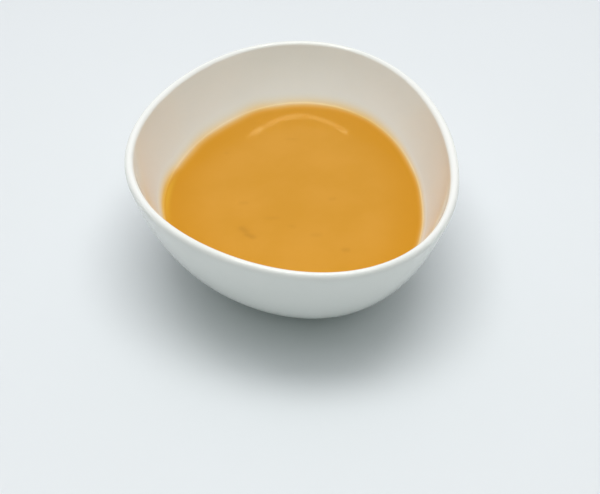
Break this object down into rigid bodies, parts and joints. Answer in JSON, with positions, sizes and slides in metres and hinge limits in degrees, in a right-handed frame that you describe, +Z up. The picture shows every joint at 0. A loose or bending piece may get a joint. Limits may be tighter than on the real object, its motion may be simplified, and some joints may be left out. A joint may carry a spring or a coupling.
{
  "type": "bowl of lobster bisque",
  "caption": "Deep white porcelain bowl pressed to a rounded triangle, with a gently slanting lip and a foot ring, part filled with smooth orange lobster bisque.",
  "frame": {"origin": "on the ground, under the middle of the bowl's outline", "axes": "+Z up, +Y along the longer way across the bowl and away from the viewer, +X to the viewer's right"},
  "size_m": [0.1436, 0.171, 0.0597],
  "materials": {
    "white_glaze": "smooth gloss glaze",
    "bisque": "wet, smooth and opaque"
  },
  "bodies": {
    "root": {"bowl": "white_glaze", "soup": "bisque"}
  },
  "joints": []
}
